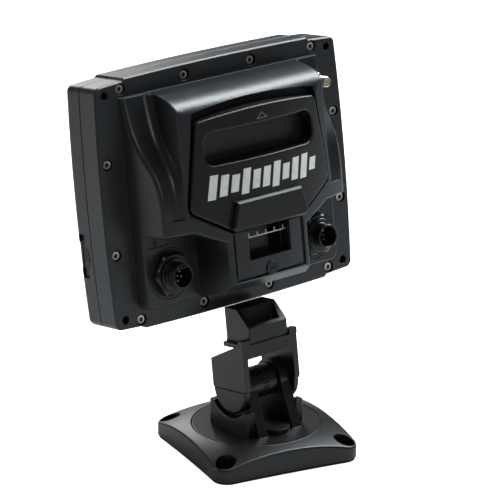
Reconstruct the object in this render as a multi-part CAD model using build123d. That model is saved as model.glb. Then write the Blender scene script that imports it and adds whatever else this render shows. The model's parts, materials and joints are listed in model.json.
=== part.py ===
from build123d import *
import os
from math import cos, pi, sin, radians

# Fish finder: a display head seen with its quick-release bracket.
# Millimetres, +Z up, origin on the swivel axis at the bottom of the base pad.
# The screen faces -Y and the connectors face +Y.
# The display is modelled about its own centre, with Y = 0 on the rear face of
# its flange, and the tilt head about its pivot; both are placed at the end.

os.makedirs("parts", exist_ok=True)

# ---- stored position ----
rest_tilt = 7.5             # top of the display leans this far towards -Y
rest_swivel = -14.0         # base plate is turned this far under the turret
dock_lift = 26.0            # display stands this far above its seated place
seated_height = 90.0        # display centre above the pivot when seated
flange_setback = 10.0       # display flange plane in front of the pivot

# ---- clearances ----
running_gap = 0.05          # a shaft or boss in its bore, on the radius
moving_gap = 0.3            # between pieces that move past each other
dock_gap = 0.6              # tenon in its socket, each side
thread_gap = 0.05           # screw in its hole, on the radius
seat_clearance = 1.9        # cheeks' front corners below the seated display

# ---- display shells ----
half_width = 88.5
half_height = 71.5
corner_x = half_width - 2.0     # the edges bow out between the corners
corner_z = half_height - 3.5
corner_radius = 4.0
step_x = half_width - 22.5      # the long edges step in here, near the corners
step_z = half_height - 0.9
step_drop = 1.4
bezel_depth = 14.0
flange_depth = 14.0
shell_wall = 3.0            # side walls of both shells
face_wall = 2.5             # front wall and flange wall
hump_wall = 2.5
seam_chamfer = 0.5
seal_thickness = 1.0
front_edge_round = 4.5

# ---- rear hump ----
hump_base_x = 71.5
hump_shoulder_x = 65.5
hump_shoulder_y = 23.0
hump_top_z = 60.0
hump_bottom_z = -60.0
hump_round = (26.5, 13.0)   # depth and height of the rounded top
hump_round_start = 2.0
tower_face_y = 33.0
tower_break_z = -22.0
crown_radius = 200.0
crown_y = 34.0
scoop_x = 52.5
scoop_bottom_z = -9.0
pad_y = 8.0                 # raised pads that carry the connectors
tower_x = (28.0, 33.0)      # half width of the tower at its face and at the pads
shoulder_points = ((28.0, -27.0), (48.0, -17.5))

# ---- latch ----
latch_floor_y = 22.0
latch_back_y = 23.5
latch_crown = 1.2           # plate stands this far above the hump's crown
latch_travel = 4.0
latch_corners = 8           # the upright edges at the plate's shoulders
latch_corner_radius = 4.0
latch_rim_round = 1.2
latch_side_gap = 1.2
latch_top_gap = 4.8
flap_y = 37.2
finger_slot = (38.5, 18.5, 37.0, 6.0)   # half width, bottom, top, corner radius
tongue = (7.0, 19.0, 23.0)  # half width, front and rear face
tongue_tip_z = -50.0
spring_x = 43.0
spring_radius = 1.7
spring_wire = 0.5
spring_ends = (10.5, 27.5)
spring_turns = 8

# ---- dock socket and tenon ----
tenon_half_x = 14.0
tenon_front = -6.0
tenon_rear = 15.0
tenon_bottom = 28.0
tenon_top = 46.0
tenon_chamfer = 10.0
window_half_x = 15.0
window_z = (-39.0, -21.5)
frame_half_x = 24.0
frame_z = (-48.0, -21.8)
frame_thickness = 1.2
frame_groove = 1.6
plug_radius = 4.2
plug_z = -46.0
comb_pitch = 6.2
comb_ticks = 5

# ---- screws and small hardware ----
row_end_x = half_width - 19.5
row_z = half_height - 6.5
side_screw_x = half_width - 6.5
screw_places = [(x, z) for x in (-row_end_x, -24, 24, row_end_x) for z in (-row_z, row_z)]
screw_places += [(x, z) for x in (-side_screw_x, side_screw_x) for z in (-26, 25)]
screw_radius = 1.45
screw_head_radius = 2.6
screw_head_height = 1.5
counterbore_radius = 3.3
counterbore_depth = 2.3
screw_end_y = -18.0
boss_radius = 3.6
boss_end_y = -19.0
hole_x = half_width - 8.5
hole_z = half_height - 8.5
corner_hole_places = [(x, z) for x in (-hole_x, hole_x) for z in (-hole_z, hole_z)]
corner_hole_radius = 2.4
corner_hole_depth = 8.0

# ---- connectors ----
connector_x = 53.0
connector_z = -41.0
barrel_radius = 7.0
barrel_bore = 5.9
barrel_depth = 10.0
barrel_end_y = 20.8
connector_collar = 9.6
connector_body = 8.0
nut_flats = 22.5
nut_y = (8.8, 13.0)
collar_depth = 1.6
gasket_radius = 13.2
pin_radius = 0.55
pin_length = 4.5
ring_radius = 14.2          # line engraved around each gasket
ring_width = 0.4
mark_depth = 0.4
mark_place = (61.0, -21.6)
jack_x = -62.0
jack_z = 47.0
jack_seat_y = 8.0
jack_radius = 3.1
jack_shank = 2.9            # radius inside the nut and the housing
jack_nut = (0.8, 2.2)       # depth of its washer and of the nut
jack_end_y = 20.0

# ---- front ----
lens_centre_x = -21.0
lens_size = (110.0, 90.0, 1.6)
window_size = (102.0, 80.0)
panel_size = (106.0, 82.0, 4.0)
tray_wall = 3.0
board_size = (150.0, 112.0, 1.6)
board_front_y = -18.0
post_places = [(x, z) for x in (-68, 41.5) for z in (-50, 50)]
key_column_x = 58.0
key_proud = 1.3
key_travel = 1.0
key_flange = 1.2
dome_height = 4.2

# ---- card door ----
door_z = (-40.0, -15.0)
door_pin = (half_width - 3.4, -24.1)
door_knuckle = 1.1
door_thickness = 1.6
door_rear_y = -19.0
thumb_radius = 8.0          # scoop in the bezel behind the door

# ---- bracket ----
base_corner = 58.5
base_side = 41.5
base_bow_radius = 120.0
base_corner_radius = 9.0
pad_thickness = 1.5
base_edge_z = 7.0
base_round = 1.5
disc_radius = 37.0
disc_top = 15.5
disc_bottom = 6.3
recess_floor = 6.0
base_web = 2.5
mount_circle = 105.0
mount_hole_radius = 2.75
scallop_radius = 6.0
scallop_floor = 5.0
boss_bore = 8.0
pivot_z = 40.0
arm_x = (9.0, 15.5)
arm_top_radius = 11.0
arm_round = 1.5
skirt_round = 1.0
arm_foot = (-14.0, 22.0)
cheek_x = (16.5, 20.0)
cheek_front = 14.2
cheek_round = 1.2
cheek_nest_radius = 16.4
axle_radius = 4.0
drum_radius = 9.2


def block(x_range, y_range, z_range):
    size = [high - low for low, high in (x_range, y_range, z_range)]
    corner = (x_range[0], y_range[0], z_range[0])
    return Pos(*corner) * Box(*size, align=(Align.MIN, Align.MIN, Align.MIN))


def mid_block(half_x, y_range, z_range):
    return block((-half_x, half_x), y_range, z_range)


def rod(axis, radius, place, start, end):
    """A cylinder along an axis; place gives its two other coordinates."""
    solid = Cylinder(radius, end - start, align=(Align.CENTER, Align.CENTER, Align.MIN))
    if axis == "x":
        return Pos(start, place[0], place[1]) * Rot(0, 90, 0) * solid
    if axis == "y":
        return Pos(place[0], start, place[1]) * Rot(-90, 0, 0) * solid
    return Pos(place[0], place[1], start) * solid


def along_x(face, start, end):
    return extrude(Plane.YZ.offset(start) * face, end - start, dir=(1, 0, 0))


def along_y(face, start, end):
    return extrude(Plane.XZ.offset(-start) * face, end - start, dir=(0, 1, 0))


def along_z(face, start, end):
    return extrude(Pos(0, 0, start) * face, end - start, dir=(0, 0, 1))


def outline(points):
    return Polygon(*points, align=None)


def mirrored(points):
    """Right half of a closed outline, listed top to bottom, and its mirror."""
    return list(points) + [(-x, z) for x, z in reversed(points)]


def hexagon(flats):
    return RegularPolygon(flats / 2, 6, major_radius=False)


def both_sides(solid):
    return solid + mirror(solid, Plane.YZ)


def soften(solid, radius, places):
    """Fillet the edges whose middles are nearest to the places, on both sides."""
    chosen = []
    for x, y, z in places:
        for side in (-1, 1):
            spot = Vector(side * x, y, z)
            edge = min(solid.edges(), key=lambda e: (e.center() - spot).length)
            if all((edge.center() - other.center()).length > 1e-3 for other in chosen):
                chosen.append(edge)
    return solid.fillet(radius, chosen)


# ---- display outline and shells ----
def display_face(inset=0.0):
    edges = []
    for sx in (-1, 1):
        for sz in (-1, 1):
            corner = (sx * (corner_x - inset), sz * (corner_z - inset))
            shoulder = (sx * (step_x + step_drop - inset), sz * (step_z - step_drop - inset))
            step = (sx * (step_x - inset), sz * (step_z - inset))
            edges += [Line(corner, shoulder), Line(shoulder, step)]
    for side in (-1, 1):
        edges.append(ThreePointArc((side * (corner_x - inset), -(corner_z - inset)),
                                   (side * (half_width - inset), 0),
                                   (side * (corner_x - inset), corner_z - inset)))
        edges.append(ThreePointArc((-(step_x - inset), side * (step_z - inset)),
                                   (0, side * (half_height - inset)),
                                   (step_x - inset, side * (step_z - inset))))
    face = make_face(edges)
    corners = face.vertices().sort_by(lambda v: abs(v.X) + abs(v.Y))[-4:]
    return fillet(corners, max(corner_radius - inset, 1.0))


def screw_bosses(start, end):
    bosses = [rod("y", boss_radius, place, start, end) for place in screw_places]
    return Part() + bosses


def seal_ring():
    """Flat gasket between the shells, with an eyelet at the end screws of each row."""
    start = -bezel_depth - seal_thickness
    ring = along_y(display_face(1.2) - display_face(2.4), start, -bezel_depth)
    eyelets = [place for place in screw_places if abs(place[0]) == row_end_x]
    for place in eyelets:
        ring += rod("y", 2.8, place, start, -bezel_depth)
    ring &= along_y(display_face(0.5), start, -bezel_depth)
    for place in eyelets:
        ring -= rod("y", screw_radius + thread_gap, place, start, -bezel_depth)
    return ring


def scoop_cut(grow):
    """Finger scoop: the hump beyond scoop_x is lowered to a curved floor."""
    floor = Spline((2.5 - grow, hump_top_z + 4), (4 - grow, 54), (11 - grow, 31),
                   (20.5 - grow, 15), (23.5 - grow, 0), (23.8 - grow, scoop_bottom_z - grow))
    top, bottom = floor @ 0, floor @ 1
    outer = 60.0
    rim = Polyline((bottom.X, bottom.Y), (outer, bottom.Y), (outer, top.Y), (top.X, top.Y))
    face = make_face([floor] + rim.edges())
    return along_x(face, scoop_x - grow, half_width)


def pad_cut(grow):
    """The corner beside the tower, lowered to the connector pad."""
    (low_x, low_z), (high_x, high_z) = shoulder_points
    plan = outline([(low_x - grow, low_z + grow), (high_x - grow, high_z + grow),
                    (90, high_z + grow), (90, -90), (low_x - grow, -90)])
    face_x, foot_x = tower_x
    slope = outline([(face_x - grow, tower_face_y + 3), (foot_x - grow, pad_y - grow),
                     (90, pad_y - grow), (90, tower_face_y + 3)])
    return along_y(plan, pad_y - grow, tower_face_y + 3) & along_z(slope, -90, high_z + 8)


def hump(inset=0.0):
    depth, height = (size - inset for size in hump_round)
    centre_z = hump_top_z - hump_round[1]
    start_y = -1.0 - inset
    top = EllipticalCenterArc((hump_round_start, centre_z), depth, height, start_angle=0, arc_size=90)
    shoulder_y = hump_round_start + depth
    face_y = tower_face_y - inset
    back = ThreePointArc((shoulder_y, centre_z), (shoulder_y + 2.9, 12),
                         (face_y, tower_break_z))
    bottom_z = hump_bottom_z + inset
    rest = Polyline((face_y, tower_break_z), (face_y, bottom_z + 10), (face_y - 7, bottom_z + 4),
                    (start_y, bottom_z), (start_y, hump_top_z - inset),
                    (hump_round_start, hump_top_z - inset))
    side = along_x(make_face([top, back] + rest.edges()), -half_width, half_width)
    plan = outline([(-hump_base_x + inset, start_y), (-hump_shoulder_x + inset, hump_shoulder_y),
                    (-scoop_x, 45), (scoop_x, 45), (hump_shoulder_x - inset, hump_shoulder_y),
                    (hump_base_x - inset, start_y)])
    crown = rod("z", crown_radius, (0, crown_y - inset - crown_radius), -80, 80)
    body = side & along_z(plan, -80, 80) & crown
    cuts = scoop_cut(inset) + pad_cut(inset)
    return body - both_sides(cuts)


def side_x(y):
    """Half width of the hump's tapered side at a depth."""
    taper = (hump_base_x - hump_shoulder_x) / (hump_shoulder_y + 1)
    return hump_base_x - (y + 1) * taper


def softened_hump():
    (low_x, low_z), (high_x, high_z) = shoulder_points
    body = soften(hump(), 3.0, [(side_x(10.7), 10.7, hump_top_z - 28.4),
                                (hump_shoulder_x - 1.9, hump_shoulder_y + 0.6, scoop_bottom_z + 7.3),
                                (hump_shoulder_x, hump_shoulder_y, scoop_bottom_z + 2.9)])
    body = soften(body, 0.6, [(scoop_x, 16, hump_top_z - 2), (scoop_x, 27, scoop_bottom_z + 30.2),
                              (scoop_x - 3.5, 27.9, hump_top_z - 10.2)])
    body = soften(body, 5.0, [(scoop_x, 14.3, scoop_bottom_z + 34.6)])
    body = soften(body, 5.0, [(side_x(3.5), 3.5, hump_bottom_z + 0.7)])
    body = soften(body, 1.0, [(side_x(pad_y), pad_y, (high_z + hump_bottom_z) / 2),
                              (tower_x[1] + 18, pad_y, hump_bottom_z + 1.3)])
    body = soften(body, 1.5, [(high_x + 8.8, hump_shoulder_y + 2.8, high_z),
                              ((low_x + high_x) / 2, tower_face_y - 2.7, (low_z + high_z) / 2),
                              (low_x + 0.7, tower_face_y - 1.1, low_z - 11.8)])
    return soften(body, 3.0, [(0, tower_face_y, hump_bottom_z + 10),
                              (0, tower_face_y - 7, hump_bottom_z + 4)])


# ---- latch outline ----
def latch_face(gap=0.0, top_gap=0.0):
    edge = [(43 + gap, 44 + top_gap), (50 + gap, -2), (49 + gap, -6 - gap),
            (25 + gap / 2, -20 - gap), (0, -21 - gap)]
    right = Polyline(*edge)
    left = Polyline(*[(-x, z) for x, z in edge])
    top = ThreePointArc((-43 - gap, 44 + top_gap), (0, 47 + top_gap), (43 + gap, 44 + top_gap))
    return make_face(right.edges() + left.edges() + [top])


def socket_hollow(grow=0.0):
    """Space in the hump for the tenon, the latch tongue and the window."""
    front_y = tenon_front + flange_setback - dock_gap - grow
    rear_y = tenon_rear + flange_setback + dock_gap + grow
    low, high = window_z
    hollow = mid_block(tenon_half_x + dock_gap + grow, (front_y, rear_y), (-90, high + grow))
    hollow += mid_block(window_half_x + grow, (rear_y - 1, tower_face_y + 3), (low - grow, high + grow))
    half, tongue_front, tongue_rear = tongue
    hollow += mid_block(half + 1 + grow, (tongue_front - 1.5 - grow, latch_back_y + 2),
                        (high - 1, -15 + latch_travel + 1.5 + grow))
    return hollow


def spring_channels(grow=0.0):
    half = spring_radius + spring_wire + 0.4 + grow
    low, high = spring_ends
    channel = block((spring_x - half, spring_x + half), (latch_floor_y - 4.5 - grow, latch_floor_y + 1),
                    (low - 3.5 - grow, high + 0.1 + grow))
    return both_sides(channel)


def supply_mark():
    """Engraved beside the power socket: a zigzag for supply over a hooked line."""
    x, z = mark_place
    zigzag = [(x - 0.4, z + 2.4), (x + 1.6, z - 0.3), (x + 0.3, z - 0.3), (x + 0.9, z - 2.4),
              (x - 1.6, z + 0.5), (x - 0.2, z + 0.5)]
    line = outline([(x + 5.4, z - 3.4), (x - 8.5, z - 3.4), (x - 9.4, z - 2.6), (x - 9.4, z + 0.6),
                    (x - 8.8, z + 0.6), (x - 8.8, z - 2.4), (x - 8.3, z - 2.8), (x + 5.4, z - 2.8)])
    return along_y(outline(zigzag), pad_y - mark_depth, pad_y + 0.5) \
        + along_y(line, pad_y - mark_depth, pad_y + 0.5)


def rear_housing():
    flange = along_y(display_face(), -flange_depth, 0)
    flange = chamfer(flange.faces().sort_by(Axis.Y)[0].edges(), seam_chamfer)
    flange = chamfer(flange.faces().sort_by(Axis.Y)[-1].edges(), 0.8)
    jack_boss = rod("y", 6.5, (jack_x, jack_z), -1, jack_seat_y)
    shell = flange + softened_hump() + jack_boss
    cavity = along_y(display_face(shell_wall), -flange_depth, -face_wall) + hump(hump_wall)
    cavity -= screw_bosses(-flange_depth, 0)
    for place in corner_hole_places:
        cavity -= rod("y", corner_hole_radius + 2, place, -corner_hole_depth - 2, 0)
    recess = latch_face(latch_side_gap, latch_top_gap)
    cavity -= along_y(latch_face(latch_side_gap + 2, latch_top_gap + 2), latch_floor_y - 2, 40)
    cavity -= socket_hollow(2.0) + spring_channels(1.5)
    cavity -= rod("y", 6.5, (jack_x, jack_z), -1, jack_seat_y)
    shell -= cavity
    shell -= along_y(recess, latch_floor_y, 45)
    shell -= socket_hollow() + spring_channels()
    seat_y = tower_face_y - frame_thickness
    shell -= mid_block(frame_half_x, (seat_y, 40), frame_z)
    shell -= mid_block(frame_half_x + frame_groove, (seat_y - 0.6, 40), (frame_z[0] - frame_groove, frame_z[1]))
    shell -= rod("y", plug_radius, (0, plug_z), seat_y, 40)
    for x, z in screw_places:
        shell -= rod("y", screw_radius + thread_gap, (x, z), -flange_depth, 0)
        shell -= rod("y", counterbore_radius, (x, z), -counterbore_depth, 10)
    for place in corner_hole_places:
        shell -= rod("y", corner_hole_radius, place, -corner_hole_depth, 1)
    for x in (-connector_x, connector_x):
        place = (x, connector_z)
        shell -= rod("y", connector_body + thread_gap, place, -5, pad_y + 1)
        ring = rod("y", ring_radius + ring_width, place, pad_y - mark_depth, pad_y + 1)
        shell -= ring - rod("y", ring_radius, place, 0, pad_y + 2)
    shell -= rod("y", jack_shank + thread_gap, (jack_x, jack_z), -5, jack_seat_y + 1)
    return shell - supply_mark()


# ---- keys on the front ----
def pill(width, height):
    return SlotOverall(width, height)


key_list = [("pages_key", 0, 50, pill(22, 8.5)), ("menu_key", 0, 37, pill(22, 8.5)),
            ("cursor_pad", 0, 15, Circle(12.5)), ("enter_key", 0, -8, pill(22, 8.5)),
            ("exit_key", 0, -20, pill(22, 8.5)), ("zoom_out_key", -6.4, -33, pill(10.6, 8.5)),
            ("zoom_in_key", 6.4, -33, pill(10.6, 8.5)), ("power_key", 0, -48, Circle(5.5))]


def key_solid(offset_x, z, shape):
    place = Pos(key_column_x + offset_x, z)
    front_y = -bezel_depth * 2
    inner_y = front_y + face_wall + moving_gap
    cap = along_y(place * shape, front_y - key_proud, inner_y + key_flange)
    cap = fillet(cap.faces().sort_by(Axis.Y)[0].edges(), 0.6)
    brim = along_y(place * offset(shape, amount=0.9), inner_y, inner_y + key_flange)
    return cap + brim


def front_bezel():
    front_y = -2 * bezel_depth
    body = along_y(display_face(), front_y, -bezel_depth)
    body = chamfer(body.faces().sort_by(Axis.Y)[-1].edges(), seam_chamfer)
    rim = body.faces().sort_by(Axis.Y)[0].edges()
    body = fillet(rim, front_edge_round)
    cavity = along_y(display_face(shell_wall), front_y + face_wall, -bezel_depth)
    cavity -= screw_bosses(boss_end_y, -bezel_depth)
    for place in post_places:
        cavity -= rod("y", 3.0, place, front_y, board_front_y)
    body -= cavity
    lens_x, lens_z, lens_y = lens_size
    gap = moving_gap / 3
    place = Pos(lens_centre_x, 0)
    body -= along_y(place * RectangleRounded(lens_x + 2 * gap, lens_z + 2 * gap, 4), front_y - 1,
                    front_y + lens_y)
    body -= along_y(place * RectangleRounded(*window_size, 2), front_y, front_y + face_wall)
    for name, offset_x, z, shape in key_list:
        hole = Pos(key_column_x + offset_x, z) * offset(shape, amount=moving_gap)
        body -= along_y(hole, front_y - 1, front_y + face_wall)
    for x, z in screw_places:
        body -= rod("y", screw_radius + thread_gap, (x, z), screw_end_y - 0.5, -bezel_depth)
    for x, z in post_places:
        body -= rod("y", 1.25, (x, z), board_front_y - 4.5, board_front_y)
    body -= seal_ring()
    pin_x, pin_y = door_pin
    front_gap = pin_y - door_knuckle - moving_gap
    body -= block((pin_x - 3, half_width + 1), (front_gap, door_rear_y), door_z)
    low, high = door_z
    body -= rod("x", thumb_radius, (door_rear_y - 4.5, (low + high) / 2), pin_x + door_knuckle, half_width + 1)
    body -= block((pin_x + door_knuckle, half_width + 1), (front_gap, door_rear_y), (low, high))
    body -= rod("z", 0.6 + thread_gap, door_pin, low - 1.5, high + 1.5)
    return body


def lens():
    lens_x, lens_z, lens_y = lens_size
    front_y = -2 * bezel_depth
    face = Pos(lens_centre_x, 0) * RectangleRounded(lens_x, lens_z, 3.9)
    return along_y(face, front_y + 0.1, front_y + lens_y)


def lcd_panel():
    width, height, depth = panel_size
    start = -2 * bezel_depth + face_wall
    face = Pos(lens_centre_x, 0) * Rectangle(width, height)
    return along_y(face, start, start + depth)


def lcd_tray():
    width, height, depth = panel_size
    start = -2 * bezel_depth + face_wall
    outer = Pos(lens_centre_x, 0) * Rectangle(width + 2 * tray_wall, height + 2 * tray_wall)
    inner = Pos(lens_centre_x, 0) * Rectangle(width, height)
    return along_y(outer, start, start + depth + 1) - along_y(inner, start, start + depth)


def main_board():
    width, height, depth = board_size
    board = along_y(Rectangle(width, height), board_front_y, board_front_y + depth)
    for place in post_places:
        board -= rod("y", 1.5, place, board_front_y, board_front_y + depth)
    return board


def board_screws():
    back = board_front_y + board_size[2]
    screws = Part()
    for place in post_places:
        screws += rod("y", 1.2, place, board_front_y - 4, back) + rod("y", 2.4, place, back, back + 1.4)
    return screws


def keypad_mat():
    mat = along_y(Pos(key_column_x, 1) * RectangleRounded(23, 112, 3), board_front_y - 1.2,
                  board_front_y)
    for name, offset_x, z, shape in key_list:
        mat += rod("y", 3.2, (key_column_x + offset_x, z), board_front_y - dome_height, board_front_y)
    return mat


def card_slot():
    low, high = door_z
    pin_x, pin_y = door_pin
    slot = block((71.5, pin_x - 3.2), (pin_y - 0.5, -19.6), (low + 1, high - 1))
    slot += block((71.5, board_size[0] / 2), (-19.6, board_front_y), (low + 1, high - 1))
    slot -= block((74, pin_x), (pin_y + 1.2, pin_y + 3.2), (low + 2.5, high - 2.5))
    return slot


def card_door():
    pin_x, pin_y = door_pin
    low, high = (door_z[0] + moving_gap, door_z[1] - moving_gap)
    outer_x = pin_x + door_knuckle
    door = block((outer_x - door_thickness, outer_x), (pin_y, door_rear_y - moving_gap), (low, high))
    door += rod("z", door_knuckle, door_pin, low, high)
    return door - rod("z", 0.6 + running_gap, door_pin, low, high)


def door_hinge_pin():
    return rod("z", 0.6, door_pin, door_z[0] - 1.4, door_z[1] + 1.4)


# ---- hardware on the display ----
def housing_screws():
    head_y = -counterbore_depth
    socket = Rot(-90, 0, 0) * extrude(hexagon(2.3), 1.1)
    screws = Part()
    for x, z in screw_places:
        screw = rod("y", screw_radius, (x, z), screw_end_y, head_y)
        head = rod("y", screw_head_radius, (x, z), head_y, head_y + screw_head_height)
        screws += screw + head - Pos(x, head_y + screw_head_height - 1.1, z) * socket
    return screws


def connector(x, key_flat):
    place = (x, connector_z)
    shell = rod("y", connector_body, place, 0, nut_y[0] + 2)
    floor = barrel_end_y - barrel_depth
    shell += rod("y", connector_collar, place, nut_y[1], nut_y[1] + collar_depth)
    shell += rod("y", barrel_radius, place, nut_y[0], barrel_end_y)
    shell -= rod("y", barrel_bore, place, floor, barrel_end_y + 1)
    if key_flat:
        rib = block((x - 4.5, x + 4.5), (floor, barrel_end_y - 0.4), (connector_z + 4.4, connector_z + 5.2))
    else:
        rib = block((x - 5.6, x + 0.5), (floor, floor + pin_length), (connector_z - 0.4, connector_z + 0.4))
    return shell + rib


def pin_places(x, count):
    if count == 6:
        ring = [(x + 2.9 * sin(radians(a)), connector_z - 0.6 + 2.9 * cos(radians(a)))
                for a in (36, 108, 180, 252, 324)]
        return ring + [(x, connector_z - 0.6)]
    return [(x + 3.0 * sin(radians(a)), connector_z + 3.0 * cos(radians(a))) for a in (40, 140, 205, 335)]


def connector_pins(x, count):
    floor = barrel_end_y - barrel_depth
    return Part() + [rod("y", pin_radius, place, floor, floor + pin_length) for place in pin_places(x, count)]


def connector_nuts():
    start, end = nut_y
    nuts = Part()
    for x in (-connector_x, connector_x):
        nut = Pos(x, start, connector_z) * Rot(-90, 0, 0) * extrude(hexagon(nut_flats), end - start)
        nuts += nut - rod("y", connector_body, (x, connector_z), start, start + 2) \
            - rod("y", barrel_radius, (x, connector_z), start, end)
    return nuts


def connector_gaskets():
    rings = Part()
    for x in (-connector_x, connector_x):
        place = (x, connector_z)
        rings += rod("y", gasket_radius, place, pad_y, nut_y[0]) - rod("y", connector_body, place, 0, 10)
    return rings


def antenna_jack():
    place = (jack_x, jack_z)
    jack = rod("y", jack_shank, place, 0, jack_end_y) \
        + rod("y", jack_radius, place, jack_seat_y + sum(jack_nut), jack_end_y)
    jack -= rod("y", jack_radius - 0.8, place, jack_end_y - 5, jack_end_y + 1)
    return jack + rod("y", 0.5, place, jack_end_y - 6, jack_end_y - 1)


def antenna_nut():
    washer_depth, nut_depth = jack_nut
    nut_start = jack_seat_y + washer_depth
    nut = Pos(jack_x, nut_start, jack_z) * Rot(-90, 0, 0) * extrude(hexagon(8.6), nut_depth)
    ring = nut + rod("y", 5.2, (jack_x, jack_z), jack_seat_y, nut_start)
    return ring - rod("y", jack_shank, (jack_x, jack_z), 0, 20)


def gps_patch():
    back = board_front_y + board_size[2]
    return block((10, 35), (back, back + 4), (18, 43))


def beeper():
    back = board_front_y + board_size[2]
    return rod("y", 7, (-40, -35), back, back + 5)


def socket_frame():
    gap = 0.2
    seat_y = tower_face_y - frame_thickness
    low, high = frame_z
    plate = mid_block(frame_half_x - gap, (seat_y, tower_face_y), (low + gap, high - gap))
    plate &= rod("z", crown_radius, (0, crown_y - 0.6 - crown_radius), -80, 0)
    plate -= mid_block(window_half_x, (0, 50), (window_z[0], window_z[1] + 1))
    return plate - rod("y", plug_radius + 0.15, (0, plug_z), 0, 50)


def contact_comb():
    half = window_half_x
    bar_z = -27.0
    comb = mid_block(half, (29.4, 30.2), (bar_z, bar_z + 0.6))
    for number in range(comb_ticks):
        x = (number - (comb_ticks - 1) / 2) * comb_pitch
        comb += block((x - 0.3, x + 0.3), (29.4, 30.2), (bar_z, bar_z + 2.6))
    return comb


def round_plug():
    seat_y = tower_face_y - frame_thickness
    top_y = tower_face_y + 0.7
    plug = rod("y", plug_radius - 0.15, (0, plug_z), seat_y, top_y)
    plug = chamfer(plug.faces().sort_by(Axis.Y)[-1].edges(), 0.4)
    return plug - mid_block(2.6, (top_y - 0.5, top_y + 1), (plug_z - 0.5, plug_z + 0.5))


def latch_handle():
    plate = along_y(latch_face(), latch_back_y, 45)
    corners = plate.edges().filter_by(Axis.Y).sort_by(lambda edge: abs(edge.center().X))[-latch_corners:]
    plate = plate.fillet(latch_corner_radius, corners)
    plate &= rod("z", crown_radius, (0, crown_y + latch_crown - crown_radius), -40, 60)
    half, low, high, corner = finger_slot
    slot = Pos(0, (low + high) / 2) * RectangleRounded(2 * half, high - low, corner)
    plate -= along_y(slot, 0, 50)
    crown = plate.faces().filter_by(GeomType.CYLINDER).sort_by(SortBy.AREA)[-1]
    plate = plate.fillet(latch_rim_round, crown.edges())
    flap = outline(mirrored([(23.5, -3.6), (27.5, -18.0), (25.5, -20.2)]))
    flap_solid = along_y(flap, latch_back_y + 2, flap_y)
    flap_solid = chamfer(flap_solid.faces().sort_by(Axis.Y)[-1].edges(), 1.2)
    half_tongue, front, rear = tongue
    hook = mid_block(half_tongue, (front, latch_back_y), (-19.5, -15))
    hook += mid_block(half_tongue, (front, rear), (tongue_tip_z, -15))
    spring_low = spring_ends[0]
    foot = block((spring_x - 1.8, spring_x + 1.8), (latch_floor_y - 3.8, latch_back_y),
                 (spring_low - 2.2, spring_low - 0.2))
    return plate + flap_solid + hook + both_sides(foot)


def latch_springs():
    low, high = spring_ends
    height = high - low - spring_wire
    pitch = height / spring_turns
    coil = Helix(pitch, height, spring_radius)
    start = Plane(origin=coil @ 0, z_dir=coil % 0)
    spring = sweep(start * Circle(spring_wire / 2), path=coil)
    place_z = low + spring_wire / 2
    place_y = latch_floor_y - 2.2
    return Part() + [Pos(x, place_y, place_z) * spring for x in (-spring_x, spring_x)]


# ---- tilt head, about the pivot ----
def tilt_head():
    corner_z = seated_height - half_height - seat_clearance
    profile = outline([(-cheek_front, 0), (-cheek_front, corner_z), (12.5, 27.7), (tenon_rear, 27.7),
                       (tenon_rear, 2), (cheek_front, 0)]) + Circle(cheek_front)
    inner, outer = cheek_x
    cheek = along_x(profile, inner, outer)
    cheek = cheek.fillet(cheek_round, cheek.faces().sort_by(Axis.X)[-1].edges())
    head = both_sides(cheek)
    head += both_sides(block((14.5, outer), (11.5, tenon_rear + 0.5), (26.5, 30)))
    head += mid_block(inner, (8, tenon_rear), (19, 24))
    head += mid_block(inner, (tenon_front, tenon_rear), (24, 26.6))
    head += mid_block(tenon_half_x, (tenon_front, tenon_rear - 1.2), (26, tenon_bottom))
    tenon = mid_block(tenon_half_x, (tenon_front, tenon_rear), (tenon_bottom, tenon_top))
    tenon = fillet(tenon.edges().filter_by(Axis.Z), 0.8)
    chamfer_cut = outline([(tenon_rear - tenon_chamfer, tenon_top), (tenon_rear + 1, tenon_top),
                           (tenon_rear + 1, tenon_top - tenon_chamfer - 1)])
    tenon -= along_x(chamfer_cut, -20, 20)
    side = outline([(5.2, tenon_top + 1), (13.4, tenon_top + 1), (13.4, 36), (11.5, 31.5), (8, 31.5)])
    front = outline([(-12.4, tenon_top + 1), (12.4, tenon_top + 1), (8, 31), (-8, 31)])
    tenon -= along_x(side, -20, 20) & along_y(front, 0, 20)
    head += tenon
    return head - rod("x", axle_radius, (0, 0), -cheek_x[1] + 1.5, cheek_x[1] - 1.5)


def tilt_axle():
    return rod("x", axle_radius, (0, 0), -cheek_x[1] + 1.5, cheek_x[1] - 1.5)


def friction_washers():
    washer = rod("x", 9.5, (0, 0), arm_x[1] + 0.1, cheek_x[0])
    return both_sides(washer - rod("x", axle_radius, (0, 0), 0, 20))


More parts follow.
